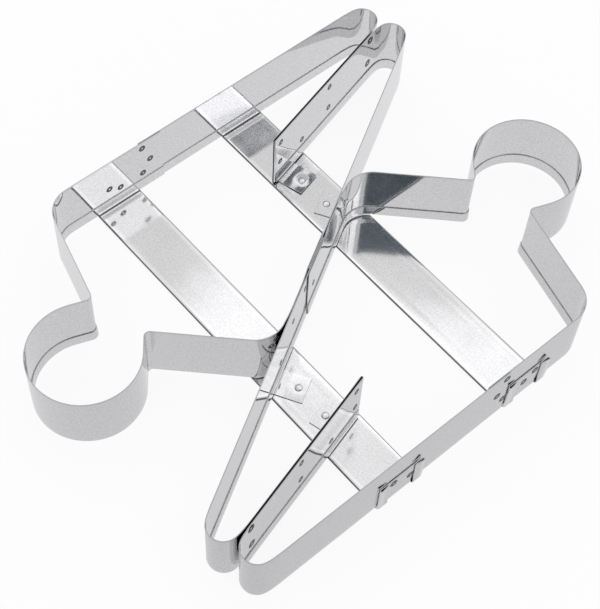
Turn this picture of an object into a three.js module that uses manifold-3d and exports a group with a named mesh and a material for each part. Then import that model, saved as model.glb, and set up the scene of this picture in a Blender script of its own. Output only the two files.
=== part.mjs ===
// Baker's double cutter for two man figures, in bright tinplate, lying with its cutting edges up.
// Millimetres, +Z up. The origin is on the ground under the middle of the cutter. The cross bars run
// along X and the long sides along Y. One half of the cutter, turned by 180 degrees, makes the other.

import * as THREE from 'three';
import { mergeVertices } from 'three/addons/utils/BufferGeometryUtils.js';
import Module from 'manifold-3d';

const wasm = await Module();
wasm.setup();

// Sheet metal
const SHEET = 0.4; // tinplate thickness
const SEAT_GAP = 0.15; // clearance between pieces that lie on each other
const FACET_ANGLE = THREE.MathUtils.degToRad(12); // largest turn between two facets of a bend
const FOLD_FACETS = 4; // facets of a fold as tight as the sheet itself
const SAME_POINT = 1e-6; // points that lie closer than this are one point of a track

// Cutting strips
const STRIP_HEIGHT = 30; // from the folded edge to the cutting edge
const STRIP_HEM_HEIGHT = 5.6; // return of the edge that is folded to the inside of a figure
const STRIP_HEM_GAP = 0.3; // space left inside that fold
const HEM_NOTCH = 0.6; // the fold is cut away round the slit's end and the neck, and this far past them
const SIDE_LAP = 12; // length by which head strip and leg strip overlap on the long side
const HEAD_PAST_MIDDLE = 11.5; // end of the head strip beyond the middle of the shared wall
const LEG_PAST_MIDDLE = 8.5; // end of the leg strip beyond the middle of the shared wall
const LAP_TO_TAB = 1.5; // free distance between the lap and the end tab of the cross bar

// Figure outline, along the middle of the sheet
const HALF_TAPER = THREE.MathUtils.degToRad(15); // each side of the body to the figure's axis
const SHOULDER_WIDTH = 119; // between the sharp shoulder corners
const SHOULDER_TO_MIDDLE = 46.3; // along the shared wall, from the shoulder corner to the middle
const SHOULDER_RADIUS = 13;
const ARM_SLOPE_DEPTH = 26.4; // from the shoulder corners down to the neck, along the axis
const NECK_WIDTH = 26.2;
const NECK_FOLD_RADIUS = 2.2;
const CHEEK_LENGTH = 10; // straight stretch from the neck fold to the round of the head
const HEAD_RADIUS = 23.5;
const TOE_RADIUS = 7.25;
const SLIT_PAST_BRACKET = 1.8; // end of the slit between the legs beyond its bracket

// Cross bars
const BAR_OFFSET = 35.5; // from the middle of the cutter to the middle of a bar
const BAR_WIDTH = 23.3;
const BAR_HEM_WIDTH = 4.7; // return of the edges that are folded to the underside
const BAR_HEM_GAP = 0.5;
const BAR_BEND_RADIUS = 1.2; // inside the bend at each end
const TAB_HEIGHT = 16; // of the bent-up ends, above the bar

// Angle brackets and their rivets
const BRACKET_WIDTH = 12.6; // along the strip
const BRACKET_REACH = 13.8; // from the middle of the upright to the free edge of the foot
const BRACKET_HEIGHT = 12; // of the upright, from the underside of the foot
const BRACKET_BEND_RADIUS = 0.2;
const RIVET_REACH = 10; // from the middle of the upright to the rivet
const RIVET_HEAD_DIAMETER = 3.4;
const RIVET_HEAD_HEIGHT = 0.95;
const RIVET_SHANK_DIAMETER = 2;
const RIVET_TAIL_THICKNESS = 0.4; // of the flat head that is closed under the bar
const RIVET_SIDES = 20;
const RIVET_DOME_FACETS = 6; // from the rim of the round head to its top

// Levels, from the ground up
const BAR_TOP = 2 * SHEET + BAR_HEM_GAP;
const FOOT_BOTTOM = BAR_TOP + SEAT_GAP; // of a bracket
const STRIP_BOTTOM = FOOT_BOTTOM + SHEET + SEAT_GAP; // a strip and a rivet head both lie on that foot

// Layers: a lapped sheet lies one layer further in, and back-to-back sheets lie half a layer apart
const LAYER = SHEET + SEAT_GAP;
const SLIT_HALF = LAYER; // a bracket's upright stands between the two sheets of the slit

// Figure frame: the axis runs along +Y to the feet, with Y = 0 at the shoulder corners
const sine = Math.sin(HALF_TAPER);
const cosine = Math.cos(HALF_TAPER);
const shoulderHalf = SHOULDER_WIDTH / 2;
const neckHalf = NECK_WIDTH / 2;
const headCentreY = -ARM_SLOPE_DEPTH - Math.sqrt(HEAD_RADIUS ** 2 + CHEEK_LENGTH ** 2 - neckHalf ** 2);
const toeCentreX = SLIT_HALF + TOE_RADIUS;
const toeCentreY = ((shoulderHalf - toeCentreX) * cosine - TOE_RADIUS) / sine;

// Point on the shared wall (side +1) or on the long side (side -1), at a distance from the shoulder
// corner and with an inset to the inside of the figure
function onSide(side, distance, inset) {
  const x = shoulderHalf - distance * sine - inset * cosine;
  const y = distance * cosine - inset * sine;
  return new THREE.Vector2(side * x, y);
}

// The middle of the cutter lies half a layer outside the shared wall of either figure
const middle = onSide(1, SHOULDER_TO_MIDDLE, -LAYER / 2);

// Place of a point of figure A in the frame of the whole cutter
function placed(point) {
  return point.clone().sub(middle).rotateAround(new THREE.Vector2(), HALF_TAPER);
}

const longSideX = placed(onSide(-1, 0, 0)).x;

// Each rivet lies on the middle line of its bar, at its reach from the bracket's upright
const crotchBracketY = middle.y + (BAR_OFFSET - (RIVET_REACH - middle.x) * sine) / cosine;
const crotchRivet = placed(new THREE.Vector2(RIVET_REACH, crotchBracketY));
const wallTilt = 2 * HALF_TAPER;
const wallNormal = new THREE.Vector2(Math.cos(wallTilt), Math.sin(wallTilt));
const uprightToRivet = RIVET_REACH - LAYER / 2;
const dividerRivet = new THREE.Vector2(
  -(BAR_OFFSET * wallNormal.y + uprightToRivet) / wallNormal.x,
  BAR_OFFSET,
);

// Strip ends, as distances from the shoulder corner of the figure
const slitEndY = crotchBracketY - BRACKET_WIDTH / 2 - SLIT_PAST_BRACKET;
const shoulderCornerY = placed(onSide(-1, 0, 0)).y;
const legEndOnSide = -BAR_OFFSET + BAR_WIDTH / 2 + LAP_TO_TAB - shoulderCornerY;
const headEndOnSide = legEndOnSide + SIDE_LAP;
const legEndOnWall = SHOULDER_TO_MIDDLE - LEG_PAST_MIDDLE;
const headEndOnWall = SHOULDER_TO_MIDDLE + HEAD_PAST_MIDDLE;

// Runs a path straight to a corner and round it, towards the next point
function roundCorner(path, corner, next, radius) {
  const into = corner.clone().sub(path.currentPoint).normalize();
  const away = next.clone().sub(corner).normalize();
  const turn = Math.atan2(into.cross(away), into.dot(away));
  const start = corner.clone().addScaledVector(into, -radius * Math.tan(Math.abs(turn) / 2));
  const toCentre = new THREE.Vector2(-into.y, into.x).multiplyScalar(radius * Math.sign(turn));
  const centre = start.clone().add(toCentre);
  const startAngle = toCentre.clone().negate().angle();
  path.lineTo(start.x, start.y);
  path.absarc(centre.x, centre.y, radius, startAngle, startAngle + turn, turn < 0);
}

// Points along a path: the ends of straight runs, and even facets round the bends
function trace(path) {
  const points = [path.getPoint(0)];
  for (const curve of path.curves) {
    const turn = curve.isEllipseCurve ? curve.getLength() / curve.xRadius : 0;
    const steps = Math.max(1, Math.ceil(turn / FACET_ANGLE));
    for (let step = 1; step <= steps; step += 1) {
      const point = curve.getPoint(step / steps);
      if (point.distanceTo(points.at(-1)) > SAME_POINT) {
        points.push(point);
      }
    }
  }
  return points;
}

// Sweeps a closed section along a flat track. The section's x is the offset to the right of the
// track and its y is the height. The section runs anticlockwise.
function sweep(track, section) {
  const positions = [];
  const indices = [];
  const size = section.length;
  const last = track.length - 1;
  track.forEach((point, ring) => {
    const back = Math.max(ring - 1, 0);
    const ahead = Math.min(ring + 1, last);
    const before = track[Math.max(ring, 1)].clone().sub(track[back]).normalize();
    const after = track[ahead].clone().sub(track[Math.min(ring, last - 1)]).normalize();
    const heading = before.add(after).normalize();
    const stretch = 1 / heading.dot(after);
    for (const corner of section) {
      const reach = corner.x * stretch;
      positions.push(point.x + heading.y * reach, point.y - heading.x * reach, corner.y);
    }
  });
  for (let ring = 0; ring < last; ring += 1) {
    for (let corner = 0; corner < size; corner += 1) {
      const near = ring * size + corner;
      const nearNext = ring * size + ((corner + 1) % size);
      indices.push(near, nearNext + size, nearNext);
      indices.push(near, near + size, nearNext + size);
    }
  }
  for (const [a, b, c] of THREE.ShapeUtils.triangulateShape(section, [])) {
    indices.push(a, b, c);
    indices.push(last * size + c, last * size + b, last * size + a);
  }
  const geometry = new THREE.BufferGeometry();
  geometry.setAttribute('position', new THREE.Float32BufferAttribute(positions, 3));
  geometry.setIndex(indices);
  return geometry;
}

function toSolid(geometry) {
  const plain = geometry.clone();
  plain.deleteAttribute('normal');
  plain.deleteAttribute('uv');
  const merged = mergeVertices(plain);
  return new wasm.Manifold(new wasm.Mesh({
    numProp: 3,
    vertProperties: new Float32Array(merged.attributes.position.array),
    triVerts: new Uint32Array(merged.index.array),
  }));
}

// The body with the tools cut away from it
function cutAway(body, tools) {
  const result = tools.reduce((solid, tool) => solid.subtract(toSolid(tool)), toSolid(body)).getMesh();
  const geometry = new THREE.BufferGeometry();
  geometry.setAttribute('position', new THREE.Float32BufferAttribute(result.vertProperties, 3));
  geometry.setIndex(Array.from(result.triVerts));
  return geometry;
}

// Section of a strip: upright wall, with the lower edge folded up on the inside
function stripSection() {
  const wall = SHEET / 2;
  const foldRadius = STRIP_HEM_GAP / 2 + SHEET;
  const foldCentreX = wall + STRIP_HEM_GAP / 2;
  const outline = new THREE.Path();
  outline.moveTo(-wall, STRIP_HEIGHT);
  outline.lineTo(-wall, foldRadius);
  outline.absarc(foldCentreX, foldRadius, foldRadius, Math.PI, 2 * Math.PI, false);
  outline.lineTo(foldCentreX + foldRadius, STRIP_HEM_HEIGHT);
  outline.lineTo(wall + STRIP_HEM_GAP, STRIP_HEM_HEIGHT);
  outline.lineTo(wall + STRIP_HEM_GAP, foldRadius);
  outline.absarc(foldCentreX, foldRadius, STRIP_HEM_GAP / 2, 0, -Math.PI, true);
  outline.lineTo(wall, STRIP_HEIGHT);
  return foldedSection(outline);
}

// Points of a sheet's section, with fewer facets than a bend that shows
function foldedSection(outline) {
  const points = [outline.getPoint(0)];
  for (const curve of outline.curves) {
    const steps = curve.isEllipseCurve ? FOLD_FACETS : 1;
    for (let step = 1; step <= steps; step += 1) {
      points.push(curve.getPoint(step / steps));
    }
  }
  return points;
}

// Tool along a stretch of a strip that takes its fold away there
function hemNotch(track) {
  const inner = SHEET / 2;
  const outer = inner + STRIP_HEM_GAP + SHEET + SEAT_GAP;
  const section = [
    new THREE.Vector2(inner, -SEAT_GAP),
    new THREE.Vector2(outer, -SEAT_GAP),
    new THREE.Vector2(outer, STRIP_HEM_HEIGHT + SEAT_GAP),
    new THREE.Vector2(inner, STRIP_HEM_HEIGHT + SEAT_GAP),
  ];
  return sweep(track, section);
}

// Track of such a tool round a bend, with a short straight run at each end
function notchTrack(bend, into, away) {
  const start = bend[0].clone().addScaledVector(into, -HEM_NOTCH);
  const end = bend.at(-1).clone().addScaledVector(away, HEM_NOTCH);
  return [start, ...bend, end];
}

// Leg strip: long side, toe, down and up the slit in a hairpin, toe, shared wall
function legStrip() {
  const sideEnd = onSide(-1, legEndOnSide, 0);
  const wallEnd = onSide(1, legEndOnWall, 0);
  const firstToe = onSide(-1, (toeCentreY + TOE_RADIUS * sine) / cosine, 0);
  const path = new THREE.Path();
  path.moveTo(sideEnd.x, sideEnd.y);
  path.lineTo(firstToe.x, firstToe.y);
  path.absarc(-toeCentreX, toeCentreY, TOE_RADIUS, Math.PI - HALF_TAPER, 0, true);
  path.absarc(0, slitEndY, SLIT_HALF, Math.PI, 2 * Math.PI, false);
  path.absarc(toeCentreX, toeCentreY, TOE_RADIUS, Math.PI, HALF_TAPER, true);
  path.lineTo(wallEnd.x, wallEnd.y);
  const sideNotch = hemNotch([
    onSide(-1, legEndOnSide - SEAT_GAP, 0),
    onSide(-1, headEndOnSide + SEAT_GAP, 0),
  ]);
  const wallNotch = hemNotch([
    onSide(1, headEndOnWall + SEAT_GAP, 0),
    onSide(1, legEndOnWall - SEAT_GAP, 0),
  ]);
  const hairpin = new THREE.Path();
  hairpin.absarc(0, slitEndY, SLIT_HALF, Math.PI, 2 * Math.PI, false);
  const down = new THREE.Vector2(0, -1);
  const up = new THREE.Vector2(0, 1);
  const slitNotch = hemNotch(notchTrack(trace(hairpin), down, up));
  return cutAway(sweep(trace(path), stripSection()), [sideNotch, wallNotch, slitNotch]);
}

// Head strip: shared wall, shoulder, neck, head, neck, shoulder, long side, one layer inside the leg strip
function headStrip() {
  const neck = new THREE.Vector2(neckHalf, -ARM_SLOPE_DEPTH);
  const headCentre = new THREE.Vector2(0, headCentreY);
  const toNeck = neck.clone().sub(headCentre);
  const cheekAngle = toNeck.angle() - Math.acos(HEAD_RADIUS / toNeck.length());
  const toCheek = new THREE.Vector2(Math.cos(cheekAngle), Math.sin(cheekAngle));
  const cheek = headCentre.clone().addScaledVector(toCheek, HEAD_RADIUS);
  const mirrored = (point) => new THREE.Vector2(-point.x, point.y);
  const wallEnd = onSide(1, headEndOnWall, LAYER);
  const sideEnd = onSide(-1, headEndOnSide, LAYER);
  const shoulder = onSide(1, 0, LAYER);
  const path = new THREE.Path();
  path.moveTo(wallEnd.x, wallEnd.y);
  roundCorner(path, shoulder, neck, SHOULDER_RADIUS);
  roundCorner(path, neck, cheek, NECK_FOLD_RADIUS);
  path.absarc(headCentre.x, headCentre.y, HEAD_RADIUS, cheekAngle, -Math.PI - cheekAngle, true);
  roundCorner(path, mirrored(neck), mirrored(shoulder), NECK_FOLD_RADIUS);
  roundCorner(path, mirrored(shoulder), sideEnd, SHOULDER_RADIUS);
  path.lineTo(sideEnd.x, sideEnd.y);
  const neckPath = new THREE.Path();
  neckPath.moveTo(shoulder.x, shoulder.y);
  roundCorner(neckPath, neck, cheek, NECK_FOLD_RADIUS);
  const neckNotch = notchTrack(
    trace(neckPath).slice(1),
    neck.clone().sub(shoulder).normalize(),
    cheek.clone().sub(neck).normalize(),
  );
  const farNeckNotch = neckNotch.map(mirrored).reverse();
  const notches = [hemNotch(neckNotch), hemNotch(farNeckNotch)];
  return cutAway(sweep(trace(path), stripSection()), notches);
}

// Section of a cross bar: flat sheet with both edges folded to the underside, x downwards
function barSection() {
  const foldRadius = BAR_TOP / 2;
  const edge = BAR_WIDTH / 2 - foldRadius;
  const hemEnd = BAR_WIDTH / 2 - BAR_HEM_WIDTH;
  const outline = new THREE.Path();
  outline.moveTo(0, edge);
  outline.lineTo(0, -edge);
  outline.absarc(foldRadius, -edge, foldRadius, Math.PI, 2 * Math.PI, false);
  outline.lineTo(BAR_TOP, -hemEnd);
  outline.lineTo(BAR_TOP - SHEET, -hemEnd);
  outline.lineTo(BAR_TOP - SHEET, -edge);
  outline.absarc(foldRadius, -edge, BAR_HEM_GAP / 2, 0, -Math.PI, true);
  outline.lineTo(SHEET, edge);
  outline.absarc(foldRadius, edge, BAR_HEM_GAP / 2, Math.PI, 0, true);
  outline.lineTo(BAR_TOP - SHEET, hemEnd);
  outline.lineTo(BAR_TOP, hemEnd);
  outline.lineTo(BAR_TOP, edge);
  outline.absarc(foldRadius, edge, foldRadius, 0, Math.PI, false);
  return foldedSection(outline).slice(0, -1);
}

// Hole through a bar and the bracket's foot on it
function rivetHole(place) {
  const radius = RIVET_SHANK_DIAMETER / 2 + SEAT_GAP;
  const hole = new THREE.CylinderGeometry(radius, radius, 2 * STRIP_BOTTOM, RIVET_SIDES);
  hole.rotateX(Math.PI / 2);
  hole.translate(place.x, place.y, STRIP_BOTTOM / 2);
  return hole;
}

// Cross bar: end tab down outside the long side, along under the strips, and up outside the far side
function crossBar() {
  const tabTop = BAR_TOP + TAB_HEIGHT;
  const face = SHEET / 2 + SEAT_GAP;
  const left = longSideX - face;
  const right = -longSideX - LAYER + face;
  const path = new THREE.Path();
  path.moveTo(left, tabTop);
  roundCorner(path, new THREE.Vector2(left, BAR_TOP), new THREE.Vector2(right, BAR_TOP), BAR_BEND_RADIUS);
  roundCorner(path, new THREE.Vector2(right, BAR_TOP), new THREE.Vector2(right, tabTop), BAR_BEND_RADIUS);
  path.lineTo(right, tabTop);
  const bar = sweep(trace(path), barSection());
  bar.rotateX(Math.PI / 2);
  bar.translate(0, BAR_OFFSET, 0);
  return cutAway(bar, [rivetHole(crotchRivet), rivetHole(dividerRivet)]);
}

// Angle bracket about its rivet: foot on the bar along +X, upright between two sheets
function bracket() {
  const outside = -RIVET_REACH - SHEET / 2;
  const inside = outside + SHEET;
  const innerBend = BRACKET_BEND_RADIUS;
  const outerBend = innerBend + SHEET;
  const tip = BRACKET_REACH - RIVET_REACH;
  const shape = new THREE.Shape();
  shape.moveTo(tip, 0);
  shape.lineTo(tip, SHEET);
  shape.lineTo(inside + innerBend, SHEET);
  shape.absarc(inside + innerBend, outerBend, innerBend, -Math.PI / 2, -Math.PI, true);
  shape.lineTo(inside, BRACKET_HEIGHT);
  shape.lineTo(outside, BRACKET_HEIGHT);
  shape.lineTo(outside, outerBend);
  shape.absarc(inside + innerBend, outerBend, outerBend, Math.PI, 1.5 * Math.PI, false);
  const blank = new THREE.ExtrudeGeometry(shape, {
    depth: BRACKET_WIDTH,
    bevelEnabled: false,
    curveSegments: FOLD_FACETS,
  });
  blank.translate(0, 0, -BRACKET_WIDTH / 2);
  blank.rotateX(Math.PI / 2);
  blank.translate(0, 0, FOOT_BOTTOM);
  return cutAway(blank, [rivetHole(new THREE.Vector2())]);
}

// Rivet: round head on the bracket, shank through both sheets, flat closed head under the bar
function rivet() {
  const tailSeat = BAR_TOP - SHEET - SEAT_GAP;
  const shank = RIVET_SHANK_DIAMETER / 2;
  const head = RIVET_HEAD_DIAMETER / 2;
  const profile = [
    new THREE.Vector2(0, tailSeat - RIVET_TAIL_THICKNESS),
    new THREE.Vector2(head, tailSeat - RIVET_TAIL_THICKNESS),
    new THREE.Vector2(head, tailSeat),
    new THREE.Vector2(shank, tailSeat),
    new THREE.Vector2(shank, STRIP_BOTTOM),
  ];
  for (let step = 0; step <= RIVET_DOME_FACETS; step += 1) {
    const angle = (step / RIVET_DOME_FACETS) * (Math.PI / 2);
    const x = step === RIVET_DOME_FACETS ? 0 : head * Math.cos(angle);
    profile.push(new THREE.Vector2(x, STRIP_BOTTOM + RIVET_HEAD_HEIGHT * Math.sin(angle)));
  }
  const geometry = new THREE.LatheGeometry(profile, RIVET_SIDES);
  geometry.rotateX(Math.PI / 2);
  return geometry;
}

const cutter = new THREE.Group();

function addPiece(parent, name, geometry, finish) {
  const mesh = new THREE.Mesh(geometry, new THREE.MeshStandardMaterial(finish));
  mesh.name = name;
  parent.add(mesh);
  return mesh;
}

const STRIP_TIN = { color: 0xcfcfd1, metalness: 1, roughness: 0.16 };
const BAR_TIN = { color: 0xdadadb, metalness: 1, roughness: 0.2 };
const BRACKET_TIN = { color: 0xd6d5d6, metalness: 1, roughness: 0.18 };
const RIVET_TIN = { color: 0xc4c5c8, metalness: 1, roughness: 0.28 };

['a', 'b'].forEach((tag, index) => {
  const half = new THREE.Group();
  half.rotation.z = index * Math.PI;
  cutter.add(half);

  const figure = new THREE.Group();
  figure.rotation.z = HALF_TAPER;
  half.add(figure);
  for (const [name, geometry] of [['head_strip', headStrip()], ['leg_strip', legStrip()]]) {
    const strip = addPiece(figure, `${name}_${tag}`, geometry, STRIP_TIN);
    strip.position.set(-middle.x, -middle.y, STRIP_BOTTOM);
  }

  addPiece(half, `cross_bar_${tag}`, crossBar(), BAR_TIN);

  const brackets = [
    ['crotch', crotchRivet, HALF_TAPER],
    ['divider', dividerRivet, wallTilt + Math.PI],
  ];
  for (const [name, place, turn] of brackets) {
    const angle = addPiece(half, `${name}_bracket_${tag}`, bracket(), BRACKET_TIN);
    angle.position.set(place.x, place.y, 0);
    angle.rotation.z = turn;
    const pin = addPiece(half, `${name}_rivet_${tag}`, rivet(), RIVET_TIN);
    pin.position.set(place.x, place.y, 0);
  }
});

export default cutter;
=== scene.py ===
import math

import bmesh
import bpy
from mathutils import Matrix, Quaternion, Vector, noise


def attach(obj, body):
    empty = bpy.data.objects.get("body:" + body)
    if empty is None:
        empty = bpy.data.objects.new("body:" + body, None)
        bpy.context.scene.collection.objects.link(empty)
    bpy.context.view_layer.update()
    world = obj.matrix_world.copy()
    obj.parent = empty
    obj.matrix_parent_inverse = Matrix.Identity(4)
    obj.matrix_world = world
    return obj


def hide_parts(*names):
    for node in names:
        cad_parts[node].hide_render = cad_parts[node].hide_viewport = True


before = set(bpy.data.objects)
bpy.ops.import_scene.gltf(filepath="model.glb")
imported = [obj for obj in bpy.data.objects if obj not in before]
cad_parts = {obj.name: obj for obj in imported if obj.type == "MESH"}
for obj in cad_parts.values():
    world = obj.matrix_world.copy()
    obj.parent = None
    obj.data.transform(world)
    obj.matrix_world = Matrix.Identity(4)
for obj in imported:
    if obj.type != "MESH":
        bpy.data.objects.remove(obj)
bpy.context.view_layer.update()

# Leg strips
# The long side, both toes, the slit between the legs and the shared wall of a figure are one strip
# of tinplate. Its lower edge is folded to the inside first, then the strip is bent round a form.
# Where the head strip laps it, the fold is cut away and only the wall goes on.
MM = 0.001
SHEET = 0.4 * MM
STRIP_BOTTOM = 2.0 * MM
STRIP_TOP = 32.0 * MM
STRIP_HEM_TOP = 7.6 * MM
STRIP_FOLD_RADIUS = 0.35 * MM
STRIP_HEM_LEAN = 0.25 * MM
STRIP_PITCH = 4 * MM
STRIP_HEM_PITCH = 2 * MM
BEND_FACET = math.radians(5)
CREASE_FACET = math.radians(15)
FOLD_FACET = math.radians(20)
CREASE_RADIUS = 1
HEM_NOTCH = 0.6 * MM
LEG_START = Vector((-92.033, -10.2, 0)) * MM
LEG_START_HEADING = math.radians(90)
LEG_SIDE_LAP = 12.15 * MM
LEG_WALL_LAP = 20.15 * MM

# Each row of a bend list is a straight run, a turn to the left in degrees, and its radius, in mm.
SLIT_LENGTH = 80.77
TOE_EASE = 4.43
TOE_BEND = [(0, -10, 16), (0, -135, 6.761), (0, -10, 16), (0, -5, 45)]
LEG_BENDS = [
    (111.86 - TOE_EASE, -5, 45), *TOE_BEND,
    (SLIT_LENGTH - TOE_EASE, 180, 0.55),
    (SLIT_LENGTH - TOE_EASE, -5, 45), *TOE_BEND,
    (114.75 - TOE_EASE, 0, 0),
]

# The two sheets of the slit are pressed together above the bracket: heights and lengths in mm.
SLIT_END = Vector((-56.05, 24.56, 0)) * MM
SLIT_ANGLE = math.radians(105)
SLIT_REACH = 0.9 * MM
SLIT_PRESS = 0.17 * MM
SLIT_PRESS_EASE = 8
SLIT_PRESS_LEVEL = 14
SLIT_PRESS_RISE = 10
slit_way = Vector((math.cos(SLIT_ANGLE), math.sin(SLIT_ANGLE), 0))
slit_face = Vector((math.sin(SLIT_ANGLE), -math.cos(SLIT_ANGLE), 0))

# Thin plate that is bent by hand keeps long bows and shorter ripples, the same ones in each run.
BOW_LENGTH = 34 * MM
BOW_DEPTH = 0.06 * MM
RIPPLE_LENGTH = 11 * MM
RIPPLE_DEPTH = 0.022 * MM
HAND_SEED = 2
noise.seed_set(HAND_SEED)
SEAM_MERGE = 0.01 * MM
CUT_EDGE_BLUNT = 0.07 * MM
CUT_EDGE_ANGLE = math.radians(50)


def straight_run(bm, front, way, pitch=STRIP_PITCH):
    """Pushes the front row of a sheet straight on, and returns the new front."""
    steps = max(1, math.ceil(way.length / pitch))
    row = bmesh.ops.spin(
        bm, geom=front, cent=(0, 0, 0), axis=(0, 0, 1), dvec=way / steps, angle=0, steps=steps,
    )
    return row["geom_last"]


def bent_run(bm, front, centre, axis, angle, facet=BEND_FACET):
    """Bends the front row of a sheet on round an axis, and returns the new front."""
    steps = max(1, math.ceil(abs(angle) / facet))
    row = bmesh.ops.spin(bm, geom=front, cent=centre, axis=axis, angle=angle, steps=steps)
    return row["geom_last"]


def hemmed_row(bm, place, heading):
    """Row of edges across a strip: the wall from the cutting edge down, then the fold and the hem."""
    hem = bm.verts.layers.int.new("hem")
    ahead = Vector((math.cos(heading), math.sin(heading), 0))
    inward = ahead.cross(Vector((0, 0, 1)))
    fold_level = STRIP_BOTTOM + SHEET / 2 + STRIP_FOLD_RADIUS
    tip = bmesh.ops.create_vert(bm, co=place + Vector((0, 0, STRIP_TOP)))["vert"]
    tip = straight_run(bm, tip, Vector((0, 0, fold_level - STRIP_TOP)))
    wall = set(bm.verts)
    centre = place + inward * STRIP_FOLD_RADIUS + Vector((0, 0, fold_level))
    tip = bent_run(bm, tip, centre, -ahead, math.pi, FOLD_FACET)
    lean = Vector((0, 0, STRIP_HEM_TOP - fold_level)) - inward * STRIP_HEM_LEAN
    straight_run(bm, tip, lean, STRIP_HEM_PITCH)
    for vert in bm.verts:
        vert[hem] = vert not in wall
    return list(bm.edges) + list(bm.verts)


def wall_of(bm, row):
    """The part of a row across a strip that belongs to its wall and not to its hem."""
    hem = bm.verts.layers.int["hem"]
    verts = [v for v in row if isinstance(v, bmesh.types.BMVert) and not v[hem]]
    edges = [e for e in row if isinstance(e, bmesh.types.BMEdge)]
    return verts + [e for e in edges if not any(v[hem] for v in e.verts)]


def bend_strip(bm, front, place, heading, bends):
    """Bends a strip along its list, and returns its end, its last heading and the hem to cut away.
    A crease that is too sharp for the hem has it notched away, a little further on either side."""
    hem = bm.verts.layers.int["hem"]
    notched = []
    for run, turn, radius in bends:
        crease = 0 < radius < CREASE_RADIUS
        ahead = Vector((math.cos(heading), math.sin(heading), 0))
        if run:
            front = straight_run(bm, front, ahead * run * MM)
            place = place + ahead * run * MM
        if not turn:
            continue
        known = set(bm.faces)
        if crease:
            front = straight_run(bm, front, ahead * HEM_NOTCH)
            place = place + ahead * HEM_NOTCH
        centre = place + Vector((0, 0, 1)).cross(ahead) * math.copysign(radius * MM, turn)
        facet = CREASE_FACET if crease else BEND_FACET
        front = bent_run(bm, front, centre, (0, 0, 1), math.radians(turn), facet)
        place = centre + Matrix.Rotation(math.radians(turn), 3, "Z") @ (place - centre)
        heading += math.radians(turn)
        if crease:
            ahead = Vector((math.cos(heading), math.sin(heading), 0))
            front = straight_run(bm, front, ahead * HEM_NOTCH)
            place = place + ahead * HEM_NOTCH
            new_faces = [f for f in bm.faces if f not in known]
            notched += [f for f in new_faces if any(v[hem] for v in f.verts)]
    return front, heading, notched


def ease(share):
    """Smooth start and stop of a move that grows from 0 to 1."""
    share = min(1, max(0, share))
    return share * share * (3 - 2 * share)


def press_slit(bm):
    """Above the bracket, presses the two sheets of the slit together."""
    for vert in bm.verts:
        run = (vert.co - SLIT_END).dot(slit_way) / MM
        aside = (vert.co - SLIT_END).dot(slit_face)
        if abs(aside) > SLIT_REACH or not 0 < run < SLIT_LENGTH:
            continue
        share = ease(run / SLIT_PRESS_EASE) * ease((SLIT_LENGTH - run) / SLIT_PRESS_EASE)
        share *= ease((vert.co.z / MM - SLIT_PRESS_LEVEL) / SLIT_PRESS_RISE)
        vert.co -= slit_face * math.copysign(SLIT_PRESS, aside) * share


def hand_worked(bm):
    """Moves the points by the slight waviness that thin plate gets when it is bent by hand."""
    for vert in bm.verts:
        bow = noise.noise_vector(vert.co / BOW_LENGTH) * BOW_DEPTH
        vert.co += bow + noise.noise_vector(vert.co / RIPPLE_LENGTH) * RIPPLE_DEPTH


def finish_sheet(bm, name, materials, replaced):
    """Gives a folded sheet its waviness, its thickness and its blunt cut edges."""
    bmesh.ops.remove_doubles(bm, verts=bm.verts, dist=SEAM_MERGE)
    bmesh.ops.recalc_face_normals(bm, faces=bm.faces)
    hand_worked(bm)
    for face in bm.faces:
        face.smooth = True
    mesh = bpy.data.meshes.new(name)
    bm.to_mesh(mesh)
    bm.free()
    for material in materials:
        mesh.materials.append(material)
    piece = bpy.data.objects.new(name, mesh)
    bpy.context.scene.collection.objects.link(piece)
    thicken = piece.modifiers.new("sheet", "SOLIDIFY")
    thicken.thickness = SHEET
    thicken.offset = 0
    thicken.use_even_offset = True
    thicken.material_offset_rim = 1
    blunt = piece.modifiers.new("cut_edges", "BEVEL")
    blunt.width = CUT_EDGE_BLUNT
    blunt.segments = 2
    blunt.limit_method = "ANGLE"
    blunt.angle_limit = CUT_EDGE_ANGLE
    blunt.harden_normals = True
    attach(piece, "root")
    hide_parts(replaced)


TIN_BRIGHT = "F6F6F7"
TIN_GREY = "BABABC"
TIN_RUBBED = "B4B5B8"
SLIT_DARK = "2E3034"
SLIT_DARK_EDGE = (0.34 * MM, 0.44 * MM)
SLIT_DARK_COVER = 0.95
FOLD_PAINTED_SHADE = "55575B"
FOLD_SHADE_EDGE = (0.25 * MM, 0.6 * MM)
FOLD_SHADE_COVER = 0.75
RUBBED_HEIGHT = 1.1 * MM
RUBBED_COVER = 0.8
RUBBED_DULL = 0.25
STRIP_SATIN = (0.04, 0.085)
GRAIN_LENGTH = 22 * MM
GRAIN_WIDTH = 0.9 * MM
GRAIN_DEPTH = 0.0015 * MM
PIT_SIZE = 0.7 * MM
CLOUD_SIZE = 26 * MM
RUB_SIZE = 3 * MM


def linear(sheet_colour):
    """Linear red, green, blue and alpha of an sRGB hex value."""
    shades = [int(sheet_colour[at:at + 2], 16) / 255 for at in (0, 2, 4)]
    return [s / 12.92 if s <= 0.04045 else ((s + 0.055) / 1.055) ** 2.4 for s in shades] + [1]


def add_node(material, kind, links=(), **settings):
    """One node with its settings, its fixed inputs and its links."""
    node = material.node_tree.nodes.new(kind)
    inputs = settings.pop("inputs", {})
    for name, value in settings.items():
        setattr(node, name, value)
    for socket, value in inputs.items():
        node.inputs[socket].default_value = value
    for socket, source in links:
        material.node_tree.links.new(source, node.inputs[socket])
    return node


def blank_material(name):
    """An empty node material and its output node."""
    material = bpy.data.materials.new(name)
    material.use_nodes = True
    material.node_tree.nodes.clear()
    return material, add_node(material, "ShaderNodeOutputMaterial")


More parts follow.
